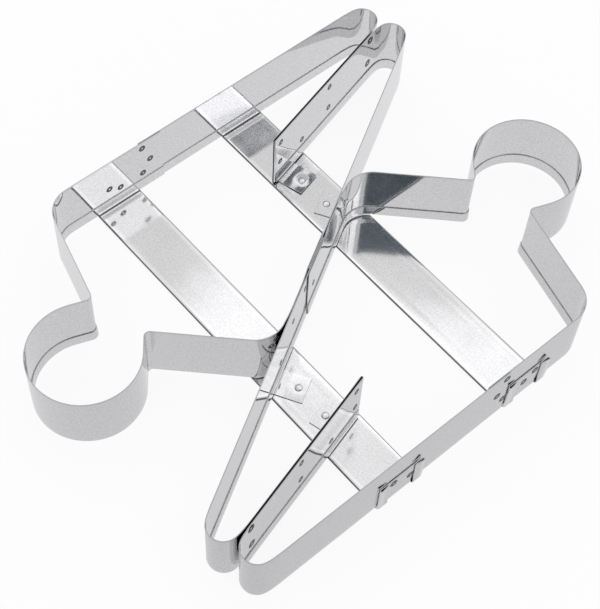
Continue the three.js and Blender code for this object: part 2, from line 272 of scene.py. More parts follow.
def darkened_slit(material, tone):
    """A tone made darker where the two sheets of the slit lie together."""
    place = add_node(material, "ShaderNodeTexCoord")
    aside = add_node(
        material, "ShaderNodeVectorMath", [(0, place.outputs["Object"])],
        operation="DOT_PRODUCT", inputs={1: slit_face},
    )
    figure = add_node(
        material, "ShaderNodeVectorMath", [(0, place.outputs["Object"])],
        operation="DOT_PRODUCT", inputs={1: slit_way},
    )
    figure = add_node(
        material, "ShaderNodeMath", [(0, figure.outputs["Value"])], operation="SIGN",
    )
    aside = add_node(
        material, "ShaderNodeMath", [(0, aside.outputs["Value"]), (1, figure.outputs[0])],
        operation="MULTIPLY_ADD", inputs={2: -SLIT_END.dot(slit_face)},
    )
    aside = add_node(material, "ShaderNodeMath", [(0, aside.outputs[0])], operation="ABSOLUTE")
    darkening = add_node(
        material, "ShaderNodeMapRange", [("Value", aside.outputs[0])],
        inputs={
            "From Min": SLIT_DARK_EDGE[0], "From Max": SLIT_DARK_EDGE[1],
            "To Min": SLIT_DARK_COVER, "To Max": 0,
        },
    )
    dark = add_node(
        material, "ShaderNodeMix", [("Factor", darkening.outputs["Result"]), ("A", tone)],
        data_type="RGBA", inputs={"B": linear(SLIT_DARK)},
    )
    return dark.outputs["Result"]


# Bright tinplate, cold rolled and tinned: a clear but not quite sharp mirror in a cool light grey.
# Fine pits speckle it, faint rolling grain lies along the strip, handling leaves clouds where it is
# less sharp, and rubbed edges are duller. A painted shade darkens the line of the bottom fold.
strip_tin, out = blank_material("bright_tinplate_rolled_strip")
place = add_node(strip_tin, "ShaderNodeTexCoord")
# Rolling lines are about 0.1 mm apart: they are drawn 0.9 mm apart, so that they show at all.
along = add_node(
    strip_tin, "ShaderNodeMapping", [("Vector", place.outputs["Object"])],
    name="grain", inputs={"Scale": (1 / GRAIN_LENGTH, 1 / GRAIN_LENGTH, 1 / GRAIN_WIDTH)},
)
grain = add_node(
    strip_tin, "ShaderNodeTexNoise", [("Vector", along.outputs["Vector"])],
    inputs={"Scale": 1, "Detail": 5, "Roughness": 0.68},
)
cloud = add_node(
    strip_tin, "ShaderNodeTexNoise", [("Vector", place.outputs["Object"])],
    inputs={"Scale": 1 / CLOUD_SIZE, "Detail": 4, "Roughness": 0.55},
)
# The pits of the rolls are finer than 0.1 mm: they are drawn 0.7 mm wide, so that they show.
speckle = add_node(
    strip_tin, "ShaderNodeTexNoise", [("Vector", place.outputs["Object"])],
    inputs={"Scale": 1 / PIT_SIZE, "Detail": 2, "Roughness": 0.6},
)
tone = add_node(
    strip_tin, "ShaderNodeMix", [("Factor", speckle.outputs["Fac"])], data_type="RGBA",
    inputs={"A": linear(TIN_BRIGHT), "B": linear(TIN_GREY)},
)
height = add_node(
    strip_tin, "ShaderNodeSeparateXYZ", [("Vector", place.outputs["Object"])], name="height",
)
rim = add_node(
    strip_tin, "ShaderNodeMapRange", [("Value", height.outputs["Z"])], name="rubbed_edge",
    inputs={
        "From Min": STRIP_TOP - RUBBED_HEIGHT, "From Max": STRIP_TOP,
        "To Min": 0, "To Max": RUBBED_COVER,
    },
)
# Painted shade: a darker line along the bottom fold of the strip stands in for the cutter's shadow on
# the table, which the fold mirrors.
fold_shade = add_node(
    strip_tin, "ShaderNodeMapRange", [("Value", height.outputs["Z"])], name="painted_fold_shade",
    inputs={
        "From Min": STRIP_BOTTOM + FOLD_SHADE_EDGE[0],
        "From Max": STRIP_BOTTOM + FOLD_SHADE_EDGE[1],
        "To Min": FOLD_SHADE_COVER, "To Max": 0,
    },
)
patchy = add_node(
    strip_tin, "ShaderNodeTexNoise", [("Vector", place.outputs["Object"])],
    inputs={"Scale": 1 / RUB_SIZE, "Detail": 3, "Roughness": 0.6},
)
rubbed = add_node(
    strip_tin, "ShaderNodeMath", [(0, rim.outputs["Result"]), (1, patchy.outputs["Fac"])],
    operation="MULTIPLY",
)
wear_and_shade = add_node(
    strip_tin, "ShaderNodeMix", [("Factor", rubbed.outputs[0]), ("A", tone.outputs["Result"])],
    data_type="RGBA", inputs={"B": linear(TIN_RUBBED)},
)
# This tone carries the rubbed wear of the top edge and the painted shade of the bottom fold.
wear_and_shade = add_node(
    strip_tin, "ShaderNodeMix",
    [("Factor", fold_shade.outputs["Result"]), ("A", wear_and_shade.outputs["Result"])],
    data_type="RGBA", name="wear_and_fold_shade", inputs={"B": linear(FOLD_PAINTED_SHADE)},
)
satin = add_node(
    strip_tin, "ShaderNodeMapRange", [("Value", cloud.outputs["Fac"])], name="satin",
    inputs={"From Min": 0.3, "From Max": 0.7, "To Min": STRIP_SATIN[0], "To Max": STRIP_SATIN[1]},
)
dulled = add_node(
    strip_tin, "ShaderNodeMath", [(0, rubbed.outputs[0]), (2, satin.outputs["Result"])],
    operation="MULTIPLY_ADD", inputs={1: RUBBED_DULL},
)
relief = add_node(
    strip_tin, "ShaderNodeBump", [("Height", grain.outputs["Fac"])], name="relief",
    inputs={"Strength": 1, "Distance": GRAIN_DEPTH},
)
surface = add_node(
    strip_tin, "ShaderNodeBsdfPrincipled",
    [
        ("Base Color", darkened_slit(strip_tin, wear_and_shade.outputs["Result"])),
        ("Roughness", dulled.outputs[0]),
        ("Normal", relief.outputs["Normal"]),
    ],
    name="surface", inputs={"Metallic": 1},
)
strip_tin.node_tree.links.new(surface.outputs["BSDF"], out.inputs["Surface"])

SHEARED_STEEL = "9C9DA1"
SHEARED_TIN = "CBCCCE"
SHEARED_SATIN = (0.22, 0.36)
SHEAR_SIZE = 3 * MM
SMEAR_MARGIN = 1 * MM
SMEAR_ON_HEM = 1.8
SMEAR_ON_CUTTING_EDGE = 0.7

# Sheared steel: a cut edge is bare and duller than the tin, with fine shear marks. The cutting edge
# has turned darker in use, and the edge of the hem keeps a smear of bright tin from the shears.
cut_edge, out = blank_material("mild_steel_sheared_edge")
place = add_node(cut_edge, "ShaderNodeTexCoord")
shear = add_node(
    cut_edge, "ShaderNodeTexNoise", [("Vector", place.outputs["Object"])],
    inputs={"Scale": 1 / SHEAR_SIZE, "Detail": 2, "Roughness": 0.5},
)
height = add_node(cut_edge, "ShaderNodeSeparateXYZ", [("Vector", place.outputs["Object"])])
smeared = add_node(
    cut_edge, "ShaderNodeMapRange", [("Value", height.outputs["Z"])],
    inputs={
        "From Min": STRIP_HEM_TOP + SMEAR_MARGIN, "From Max": STRIP_TOP - SMEAR_MARGIN,
        "To Min": SMEAR_ON_HEM, "To Max": SMEAR_ON_CUTTING_EDGE,
    },
)
smeared = add_node(
    cut_edge, "ShaderNodeMath", [(0, smeared.outputs["Result"]), (1, shear.outputs["Fac"])],
    operation="MULTIPLY",
)
bare = add_node(
    cut_edge, "ShaderNodeMix", [("Factor", smeared.outputs[0])], data_type="RGBA",
    inputs={"A": linear(SHEARED_STEEL), "B": linear(SHEARED_TIN)},
)
matt = add_node(
    cut_edge, "ShaderNodeMapRange", [("Value", shear.outputs["Fac"])],
    inputs={"To Min": SHEARED_SATIN[0], "To Max": SHEARED_SATIN[1]},
)
surface = add_node(
    cut_edge, "ShaderNodeBsdfPrincipled",
    [
        ("Base Color", darkened_slit(cut_edge, bare.outputs["Result"])),
        ("Roughness", matt.outputs["Result"]),
    ],
    inputs={"Metallic": 1},
)
cut_edge.node_tree.links.new(surface.outputs["BSDF"], out.inputs["Surface"])

half_turn = Matrix.Rotation(math.pi, 3, "Z")
for half in "ab":
    bm = bmesh.new()
    first = hemmed_row(bm, LEG_START, LEG_START_HEADING)
    back = Vector((-math.cos(LEG_START_HEADING), -math.sin(LEG_START_HEADING), 0))
    straight_run(bm, wall_of(bm, first), back * LEG_SIDE_LAP)
    last, heading, notched = bend_strip(bm, first, LEG_START, LEG_START_HEADING, LEG_BENDS)
    ahead = Vector((math.cos(heading), math.sin(heading), 0))
    straight_run(bm, wall_of(bm, last), ahead * LEG_WALL_LAP)
    bmesh.ops.delete(bm, geom=notched, context="FACES")
    press_slit(bm)
    if half == "b":
        bmesh.ops.rotate(bm, verts=bm.verts, cent=(0, 0, 0), matrix=half_turn)
    finish_sheet(
        bm, f"leg_strip_sheet_{half}", [strip_tin, cut_edge],
        f"leg_strip_{half}",
    )

# Head strips
# Both shoulders, the sloping arms, the neck and the round head are a second strip of the same
# hemmed tinplate, wrapped one sheet further in than the leg strip and spot-welded to it at both
# ends. Past the end of the leg strip, its top is pressed over to the other figure's wall.
HEAD_START = Vector((-6.464, 9.547, 0)) * MM
HEAD_START_HEADING = math.radians(-60)
HEAD_BENDS = [
    (47.79, -75.21, 13),
    (40.38, 96.3, 2.2),
    (7.54, -252.18, 23.5),
    (7.54, 96.3, 2.2),
    (40.38, -75.21, 13),
    (50.67, 0, 0),
]
WALL_ANGLE = math.radians(120)
wall_way = Vector((math.cos(WALL_ANGLE), math.sin(WALL_ANGLE), 0))
wall_face = Vector((math.sin(WALL_ANGLE), -math.cos(WALL_ANGLE), 0))

# The squeeze of the shared wall: how far in the sheet lies, where it starts and ends, over what
# lengths it comes and goes, and from what height it grows, all in mm.
SQUEEZE_INSET = (0.5, 1.3)
SQUEEZE_START = 9.5
SQUEEZE_END = 37
SQUEEZE_COMES = 5
SQUEEZE_GOES = 7
SQUEEZE_LEVEL = 14
SQUEEZE_RISE = 18
SQUEEZE = 0.5 * MM


def squeeze_wall(bm):
    """Past the leg strip's end, presses the top of the head strip over to the other figure's wall."""
    for vert in bm.verts:
        run = -vert.co.dot(wall_way) / MM
        inset = -vert.co.dot(wall_face) / MM
        inside = SQUEEZE_INSET[0] < inset < SQUEEZE_INSET[1]
        if not (inside and SQUEEZE_START < run < SQUEEZE_END):
            continue
        share = ease((run - SQUEEZE_START) / SQUEEZE_COMES) * ease((SQUEEZE_END - run) / SQUEEZE_GOES)
        share *= max(0, (vert.co.z / MM - SQUEEZE_LEVEL) / SQUEEZE_RISE)
        vert.co += wall_face * SQUEEZE * share


for half in "ab":
    bm = bmesh.new()
    first = hemmed_row(bm, HEAD_START, HEAD_START_HEADING)
    bend_strip(bm, first, HEAD_START, HEAD_START_HEADING, HEAD_BENDS)
    squeeze_wall(bm)
    if half == "b":
        bmesh.ops.rotate(bm, verts=bm.verts, cent=(0, 0, 0), matrix=half_turn)
    finish_sheet(
        bm, f"head_strip_sheet_{half}", [strip_tin, cut_edge],
        f"head_strip_{half}",
    )

# Cross bars
# Two flat bars of the same plate carry both figures. Their long edges are folded to the underside,
# and their ends are bent up as tabs and spot-welded to the outside of the long sides. Bending them
# makes the sheet sink a little between the folds, the tabs gape and the ends of the bar curl up.
BAR_OFFSET = 35.5 * MM
BAR_TOP = 1.3 * MM
BAR_HALF_WIDTH = 11.65 * MM
BAR_HEM_WIDTH = 4.7 * MM
BAR_FOLD_RADIUS = 0.45 * MM
BAR_BEND_RADIUS = 1.2 * MM
BAR_LEFT_FACE = -92.383 * MM
BAR_RIGHT_FACE = 91.833 * MM
BAR_PITCH = 0.7 * MM
BAR_HEM_PITCH = 1.1 * MM
BAR_SINK = 0.015 * MM
BAR_SINK_EASE = 2 * MM
BAR_CURL = 0.25 * MM
BAR_CURL_LENGTH = 32 * MM
TAB_TOP = 17.3 * MM
TAB_PITCH = 1.5 * MM
TAB_GAPE = 0.25 * MM
TAB_GAPE_BACK = -0.3
TAB_GAPE_RISE = 6 * MM
TAB_FLAT = 5 * MM
TAB_HEM_SPREAD = 0.65 * MM
TAB_HEM_PINCH = 0.4 * MM
TAB_HEM_GAPE = 0.15 * MM

BAR_SATIN = (0.085, 0.14)
BAR_GRAIN_LENGTH = 7 * MM
BAR_GRAIN_WIDTH = 1 * MM
BAR_GRAIN_DEPTH = 0.004 * MM
TAB_RUBBED_HEIGHT = 0.6 * MM
BAR_SHEEN_WIDTH = 2.8 * MM
BAR_SHEEN_COVER = 0.6
BAR_FOLD_SHADE_EDGE = (0.65 * MM, 0.3 * MM)
BAR_FOLD_SHADE_COVER = 0.9
BAR_FOLD_SHADE_HEIGHT = 0.6 * MM

# The same tinplate, slid over tables and more satin for it: its mirror is softer than the strip's,
# and its rolling grain, drawn 1 mm apart so that it shows, runs along the bar.
bar_tin = strip_tin.copy()
bar_tin.name = "bright_tinplate_rolled_bar"
bar_nodes = bar_tin.node_tree.nodes
bar_nodes["grain"].inputs["Scale"].default_value = (
    1 / BAR_GRAIN_LENGTH, 1 / BAR_GRAIN_WIDTH, 1 / BAR_GRAIN_WIDTH,
)
bar_nodes["relief"].inputs["Distance"].default_value = BAR_GRAIN_DEPTH
bar_nodes["satin"].inputs["To Min"].default_value = BAR_SATIN[0]
bar_nodes["satin"].inputs["To Max"].default_value = BAR_SATIN[1]
bar_nodes["painted_fold_shade"].inputs["To Min"].default_value = 0
bar_nodes["rubbed_edge"].inputs["From Min"].default_value = TAB_TOP - TAB_RUBBED_HEIGHT
bar_nodes["rubbed_edge"].inputs["From Max"].default_value = TAB_TOP
# The folds stand a little proud, and their band is painted brighter than the middle of the bar: a
# painted reflection, the lighter band that the flat over each hem shows.
# A painted shade lies along their very edge as a darker line, for the table's shadow that the fold
# mirrors, but not on the tabs.
from_middle = add_node(
    bar_tin, "ShaderNodeMath", [(0, bar_nodes["height"].outputs["Y"])], operation="ABSOLUTE",
)
from_middle = add_node(
    bar_tin, "ShaderNodeMath", [(0, from_middle.outputs[0])],
    operation="SUBTRACT", inputs={1: BAR_OFFSET},
)
from_middle = add_node(
    bar_tin, "ShaderNodeMath", [(0, from_middle.outputs[0])], operation="ABSOLUTE",
)
# Painted reflection: a brighter band over the folds.
fold_sheen = add_node(
    bar_tin, "ShaderNodeMapRange", [("Value", from_middle.outputs[0])],
    inputs={
        "From Min": BAR_HALF_WIDTH - BAR_SHEEN_WIDTH,
        "From Max": BAR_HALF_WIDTH - BAR_SHEEN_WIDTH / 2,
        "To Min": 0, "To Max": BAR_SHEEN_COVER,
    },
)
fold_sheen = add_node(
    bar_tin, "ShaderNodeMix",
    [("Factor", fold_sheen.outputs["Result"]), ("A", bar_nodes["wear_and_fold_shade"].outputs["Result"])],
    data_type="RGBA", inputs={"B": linear(TIN_BRIGHT)},
)
# Painted shade: the darker line along the very edge of each fold.
fold_line = add_node(
    bar_tin, "ShaderNodeMapRange", [("Value", from_middle.outputs[0])],
    inputs={
        "From Min": BAR_HALF_WIDTH - BAR_FOLD_SHADE_EDGE[0],
        "From Max": BAR_HALF_WIDTH - BAR_FOLD_SHADE_EDGE[1],
        "To Min": 0, "To Max": BAR_FOLD_SHADE_COVER,
    },
)
lying = add_node(
    bar_tin, "ShaderNodeMapRange", [("Value", bar_nodes["height"].outputs["Z"])],
    inputs={"From Min": BAR_TOP, "From Max": BAR_TOP + BAR_FOLD_SHADE_HEIGHT, "To Min": 1, "To Max": 0},
)
fold_line = add_node(
    bar_tin, "ShaderNodeMath", [(0, fold_line.outputs["Result"]), (1, lying.outputs["Result"])],
    operation="MULTIPLY",
)
edge_shaded = add_node(
    bar_tin, "ShaderNodeMix", [("Factor", fold_line.outputs[0]), ("A", fold_sheen.outputs["Result"])],
    data_type="RGBA", inputs={"B": linear(FOLD_PAINTED_SHADE)},
)
bar_tin.node_tree.links.new(edge_shaded.outputs["Result"], bar_nodes["surface"].inputs["Base Color"])

for half in "ab":
    bm = bmesh.new()
    across = Vector((0, 1, 0))
    fold_edge = BAR_HALF_WIDTH - BAR_FOLD_RADIUS - SHEET / 2
    raw_edge = BAR_HALF_WIDTH - BAR_HEM_WIDTH
    fold_level = SHEET / 2 + BAR_FOLD_RADIUS
    tip = bmesh.ops.create_vert(bm, co=(0, BAR_OFFSET - raw_edge, SHEET / 2))["vert"]
    tip = straight_run(bm, tip, across * (raw_edge - fold_edge), BAR_HEM_PITCH)
    centre = Vector((0, BAR_OFFSET - fold_edge, fold_level))
    tip = bent_run(bm, tip, centre, (-1, 0, 0), math.pi, FOLD_FACET)
    tip = straight_run(bm, tip, across * 2 * fold_edge, BAR_PITCH)
    centre = Vector((0, BAR_OFFSET + fold_edge, fold_level))
    tip = bent_run(bm, tip, centre, (-1, 0, 0), math.pi, FOLD_FACET)
    straight_run(bm, tip, across * (raw_edge - fold_edge), BAR_HEM_PITCH)
    for vert in bm.verts:
        if vert.co.z > fold_level:
            inside = raw_edge + BAR_SINK_EASE / 2 - abs(vert.co.y - BAR_OFFSET)
            vert.co.z -= BAR_SINK * ease(inside / BAR_SINK_EASE)
    middle = list(bm.edges) + list(bm.verts)
    for face, way in ((BAR_RIGHT_FACE, 1), (BAR_LEFT_FACE, -1)):
        bend_at = Vector((face - way * BAR_BEND_RADIUS, BAR_OFFSET, BAR_TOP + BAR_BEND_RADIUS))
        front = straight_run(bm, middle, Vector((bend_at.x, 0, 0)))
        front = bent_run(bm, front, bend_at, (0, -way, 0), math.pi / 2, CREASE_FACET)
        straight_run(bm, front, Vector((0, 0, TAB_TOP - bend_at.z)), TAB_PITCH)
        for vert in bm.verts:
            out_by = way * (vert.co.x - face)
            if out_by < 0 or vert.co.z < bend_at.z:
                continue
            rise = ease((vert.co.z - bend_at.z) / TAB_GAPE_RISE)
            reach = abs(vert.co.y - BAR_OFFSET)
            bow = max(0, (reach - TAB_FLAT) / (BAR_HALF_WIDTH - TAB_FLAT)) ** 2
            bow *= 1 if way * (vert.co.y - BAR_OFFSET) > 0 else TAB_GAPE_BACK
            hem_share = min(1, max(0, (out_by - SHEET / 2) / (2 * BAR_FOLD_RADIUS)))
            hem_gape = TAB_HEM_SPREAD * (reach - raw_edge) / (fold_edge - raw_edge) - TAB_HEM_PINCH
            hem_gape = min(hem_gape, TAB_HEM_GAPE)
            vert.co.x += way * rise * (TAB_GAPE * bow + hem_share * hem_gape)
    for vert in bm.verts:
        from_bend = min(BAR_RIGHT_FACE - vert.co.x, vert.co.x - BAR_LEFT_FACE) - BAR_BEND_RADIUS
        vert.co.z += BAR_CURL * min(1, max(0, 1 - from_bend / BAR_CURL_LENGTH)) ** 2
    if half == "b":
        bmesh.ops.rotate(bm, verts=bm.verts, cent=(0, 0, 0), matrix=half_turn)
    finish_sheet(
        bm, f"cross_bar_sheet_{half}", [bar_tin, cut_edge],
        f"cross_bar_{half}",
    )

# Angle brackets
# Short angles of tinplate tie the walls to the bars. The upright is welded in between two sheets of
# a wall, and the square foot lies on the bar. One foot is bent a little short of square, so that its
# tip stands up, and its rivet draws it down round the head.
CROTCH_RIVET = Vector((-48.627, 35.5, 0)) * MM
DIVIDER_RIVET = Vector((-31.725, 35.5, 0)) * MM
BRACKET_HALF_WIDTH = 6.3 * MM
BRACKET_FOOT_LEVEL = 1.65 * MM
BRACKET_TIP = 3.8 * MM
BRACKET_UPRIGHT = -10 * MM
BRACKET_BEND_RADIUS = 0.4 * MM
BRACKET_TOP = 13.45 * MM
BRACKET_PITCH = 0.8 * MM
DISH_RADIUS = 2.1 * MM
BRACKET_GRAIN_LENGTH = 14 * MM
BRACKET_GRAIN_WIDTH = 0.8 * MM
BRACKET_GRAIN_DEPTH = 0.0006 * MM
BRACKET_RUBBED_HEIGHT = 0.6 * MM

# The same tinplate in small offcuts, which stay flatter and mirror more sharply than the bar.
# Their rolling grain, drawn 0.8 mm apart so that it shows, lies across the bar.
bracket_tin = strip_tin.copy()
bracket_tin.name = "bright_tinplate_sheared_bracket"
bracket_nodes = bracket_tin.node_tree.nodes
bracket_nodes["grain"].inputs["Scale"].default_value = (
    1 / BRACKET_GRAIN_WIDTH, 1 / BRACKET_GRAIN_LENGTH, 1 / BRACKET_GRAIN_LENGTH,
)
bracket_nodes["relief"].inputs["Distance"].default_value = BRACKET_GRAIN_DEPTH
bracket_nodes["painted_fold_shade"].inputs["To Min"].default_value = 0
bracket_nodes["rubbed_edge"].inputs["From Min"].default_value = BRACKET_TOP - BRACKET_RUBBED_HEIGHT
bracket_nodes["rubbed_edge"].inputs["From Max"].default_value = BRACKET_TOP

# Each row is a figure, a bracket, its rivet, its turn, the tilt of its foot and the rivet's dish.
BRACKETS = [
    ("a", "crotch", CROTCH_RIVET, math.radians(15), math.radians(1.5), 0.22 * MM),
    ("a", "divider", DIVIDER_RIVET, math.radians(210), 0, 0.01 * MM),
    ("b", "crotch", CROTCH_RIVET, math.radians(15), 0, 0.02 * MM),
    ("b", "divider", DIVIDER_RIVET, math.radians(210), 0, 0.01 * MM),
]
for half, name, rivet_place, turn, tilt, dish in BRACKETS:
    bm = bmesh.new()
    corner = (BRACKET_TIP, -BRACKET_HALF_WIDTH, BRACKET_FOOT_LEVEL)
    tip = bmesh.ops.create_vert(bm, co=corner)["vert"]
    straight_run(bm, tip, Vector((0, 2 * BRACKET_HALF_WIDTH, 0)), BRACKET_PITCH)
    front = list(bm.edges) + list(bm.verts)
    bend_x = BRACKET_UPRIGHT + BRACKET_BEND_RADIUS
    front = straight_run(bm, front, Vector((bend_x - BRACKET_TIP, 0, 0)), BRACKET_PITCH)
    centre = (bend_x, 0, BRACKET_FOOT_LEVEL + BRACKET_BEND_RADIUS)
    front = bent_run(bm, front, centre, (0, 1, 0), math.pi / 2, FOLD_FACET)
    straight_run(bm, front, Vector((0, 0, BRACKET_TOP - centre[2])))
    for vert in bm.verts:
        vert.co.z += math.tan(tilt) * max(0, vert.co.x - bend_x)
        vert.co.z -= dish * math.exp(-(vert.co.xy.length / DISH_RADIUS) ** 2)
    foot_turn = Matrix.Rotation(turn, 3, "Z")
    bmesh.ops.rotate(bm, verts=bm.verts, cent=(0, 0, 0), matrix=foot_turn)
    bmesh.ops.translate(bm, verts=bm.verts, vec=rivet_place)
    if half == "b":
        bmesh.ops.rotate(bm, verts=bm.verts, cent=(0, 0, 0), matrix=half_turn)
    finish_sheet(
        bm, f"{name}_bracket_sheet_{half}", [bracket_tin, cut_edge],
        f"{name}_bracket_{half}",
    )

# Rivets
# Small round-head rivets of soft steel, tinned, pushed down through the foot and the bar.
# The head keeps a slight flat from the setting tool, and the tail is hammered flat under the bar.
RIVET_HEAD_RADIUS = 1.7 * MM
RIVET_HEAD_SEAT = 1.85 * MM
RIVET_HEAD_HEIGHT = 0.95 * MM
RIVET_FLAT_TOP = 0.95 * RIVET_HEAD_HEIGHT
RIVET_SHANK_RADIUS = 1.0 * MM
RIVET_TAIL_SEAT = 0.75 * MM
RIVET_TAIL_BOTTOM = 0.35 * MM
RIVET_CROWN_FACET = math.radians(9)
RIVET_SIDES = 36
RIVET_SHARP_ANGLE = math.radians(40)
RIVET_TIN = "EDEDEE"
RIVET_PAINTED_SHADE = "77797E"
RIVET_SHADE_HEIGHT = 0.3 * RIVET_HEAD_HEIGHT
RIVET_SATIN = (0.16, 0.34)
DENT_SIZE = 0.7 * MM
DENT_DEPTH = 0.02 * MM

# Tinned mild steel, cold headed: a soft sheen, duller than rolled plate, with small dents and a
# painted shade, a darker ring where the round head meets the plate.
rivet_tin, out = blank_material("tinned_steel_cold_headed")
place = add_node(rivet_tin, "ShaderNodeTexCoord")
dents = add_node(
    rivet_tin, "ShaderNodeTexNoise", [("Vector", place.outputs["Object"])],
    inputs={"Scale": 1 / DENT_SIZE, "Detail": 2, "Roughness": 0.5},
)
height = add_node(rivet_tin, "ShaderNodeSeparateXYZ", [("Vector", place.outputs["Object"])])
# Painted shade: the lowest part of the head is darker, where it meets the plate.
seat_shade = add_node(
    rivet_tin, "ShaderNodeMapRange", [("Value", height.outputs["Z"])],
    inputs={
        "From Min": RIVET_HEAD_SEAT, "From Max": RIVET_HEAD_SEAT + RIVET_SHADE_HEIGHT,
        "To Min": 1, "To Max": 0,
    },
)
tone = add_node(
    rivet_tin, "ShaderNodeMix", [("Factor", seat_shade.outputs["Result"])], data_type="RGBA",
    inputs={"A": linear(RIVET_TIN), "B": linear(RIVET_PAINTED_SHADE)},
)
satin = add_node(
    rivet_tin, "ShaderNodeMapRange", [("Value", dents.outputs["Fac"])],
    inputs={"To Min": RIVET_SATIN[0], "To Max": RIVET_SATIN[1]},
)
relief = add_node(
    rivet_tin, "ShaderNodeBump", [("Height", dents.outputs["Fac"])],
    inputs={"Strength": 1, "Distance": DENT_DEPTH},
)
surface = add_node(
    rivet_tin, "ShaderNodeBsdfPrincipled",
    [
        ("Base Color", tone.outputs["Result"]),
        ("Roughness", satin.outputs["Result"]),
        ("Normal", relief.outputs["Normal"]),
    ],
    inputs={"Metallic": 1},
)
rivet_tin.node_tree.links.new(surface.outputs["BSDF"], out.inputs["Surface"])

for half, name, rivet_place, *_ in BRACKETS:
    bm = bmesh.new()
    tip = bmesh.ops.create_vert(bm, co=(RIVET_HEAD_RADIUS, 0, 0))["vert"]
    bent_run(bm, tip, (0, 0, 0), (0, -1, 0), math.pi / 2, RIVET_CROWN_FACET)
    bmesh.ops.scale(bm, verts=bm.verts, vec=(1, 1, RIVET_HEAD_HEIGHT / RIVET_HEAD_RADIUS))
    for vert in bm.verts:
        vert.co.z = RIVET_HEAD_SEAT + min(vert.co.z, RIVET_FLAT_TOP)
    tip = [v for v in bm.verts if abs(v.co.x - RIVET_HEAD_RADIUS) < SEAM_MERGE]
    tip = straight_run(bm, tip, Vector((RIVET_SHANK_RADIUS - RIVET_HEAD_RADIUS, 0, 0)))
    tip = straight_run(bm, tip, Vector((0, 0, RIVET_TAIL_SEAT - RIVET_HEAD_SEAT)))
    tip = straight_run(bm, tip, Vector((RIVET_HEAD_RADIUS - RIVET_SHANK_RADIUS, 0, 0)))
    tip = straight_run(bm, tip, Vector((0, 0, RIVET_TAIL_BOTTOM - RIVET_TAIL_SEAT)))
    straight_run(bm, tip, Vector((-RIVET_HEAD_RADIUS, 0, 0)))
    profile = list(bm.edges) + list(bm.verts)
    bmesh.ops.spin(
        bm, geom=profile, cent=(0, 0, 0), axis=(0, 0, 1), angle=2 * math.pi, steps=RIVET_SIDES,
        use_merge=True,
    )
    bmesh.ops.remove_doubles(bm, verts=bm.verts, dist=SEAM_MERGE)
    bmesh.ops.recalc_face_normals(bm, faces=bm.faces)
    bmesh.ops.translate(bm, verts=bm.verts, vec=rivet_place)
    if half == "b":
        bmesh.ops.rotate(bm, verts=bm.verts, cent=(0, 0, 0), matrix=half_turn)
    for face in bm.faces:
        face.smooth = True
    mesh = bpy.data.meshes.new(f"{name}_rivet_round_{half}")
    bm.to_mesh(mesh)
    bm.free()
    mesh.set_sharp_from_angle(angle=RIVET_SHARP_ANGLE)
    mesh.materials.append(rivet_tin)
    piece = bpy.data.objects.new(f"{name}_rivet_round_{half}", mesh)
    bpy.context.scene.collection.objects.link(piece)
    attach(piece, "root")
    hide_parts(f"{name}_rivet_{half}")

# Spot welds
# The electrodes press a shallow round dish into the plate on both faces of each joint.
# The tin melts and is squeezed out to a low ring, which stays darker and duller than the sheet.
WELD_RADIUS = 1.5 * MM
WELD_SIDES = 24
WELD_RING = 0.12 * MM
WELD_SHARP_ANGLE = math.radians(60)
WELD_TIN = "7B7D82"
WELD_RIM = "3A3C40"
WELD_SATIN = (0.25, 0.45)
SCALE_SIZE = 0.6 * MM

# From the rim inwards, each step of a mark has a width in mm and a rise as a share of the ring.
WELD_STEPS = [(0.25, 1), (0.25, -0.3), (0.3, -0.35), (0.35, -0.15)]

# Places of the marks in mm: along the joint, then up the wall. The last value of the marks in the
# slit is their size, and the middle one on the shared wall is how far in the sheet lies.
SIDE_INNER_FACE = -91.283
SIDE_OUTER_FACE = -92.233
TAB_OUTER_FACE = -92.783
SLIT_OUTER_FACE = 0.75
INNER_MARK = 1.15
OUTER_MARK = 1.3
SIDE_WELDS = [(-20.8, 28.2), (-17, 18.4), (-21.4, 11.6), (-39.6, 14.6), (-33.8, 11.4)]
TAB_WELDS = [(39.5, 14.6), (30.2, 10.4)]
SLIT_WELDS = [
    (4.5, 27, 1.1), (4.2, 14, 1.1), (21.5, 12, 1.1), (43, 27.5, 1.1), (43, 13.5, 1.1),
    (76.5, 28.5, 1.4), (76, 13.5, 1.4),
]
WALL_WELDS = [
    (13.4, 1.025, 27), (-4.5, 1.025, 16.7),
    (-14.4, 0.475, 25.7), (-28.6, 0.475, 21.7), (-43.3, 0.475, 11.8),
]
ARM_WELDS = [((19.3, -37.4, 27.4), (1, 0.05, 0)), ((19.2, -40.2, 24.4), (0.99, -0.13, 0))]

# Tin melted and frozen in the welding gun: grey, a little burnt at its ring, rough like fine scale.
weld_tin, out = blank_material("remelted_tin_spot_weld")
place = add_node(weld_tin, "ShaderNodeTexCoord")
scale_noise = add_node(
    weld_tin, "ShaderNodeTexNoise", [("Vector", place.outputs["Object"])],
    inputs={"Scale": 1 / SCALE_SIZE, "Detail": 3, "Roughness": 0.6},
)
burnt = add_node(
    weld_tin, "ShaderNodeMix", [("Factor", scale_noise.outputs["Fac"])], data_type="RGBA",
    inputs={"A": linear(WELD_RIM), "B": linear(WELD_TIN)},
)
matt = add_node(
    weld_tin, "ShaderNodeMapRange", [("Value", scale_noise.outputs["Fac"])],
    inputs={"To Min": WELD_SATIN[0], "To Max": WELD_SATIN[1]},
)
surface = add_node(
    weld_tin, "ShaderNodeBsdfPrincipled",
    [("Base Color", burnt.outputs["Result"]), ("Roughness", matt.outputs["Result"])],
    inputs={"Metallic": 1},
)
weld_tin.node_tree.links.new(surface.outputs["BSDF"], out.inputs["Surface"])


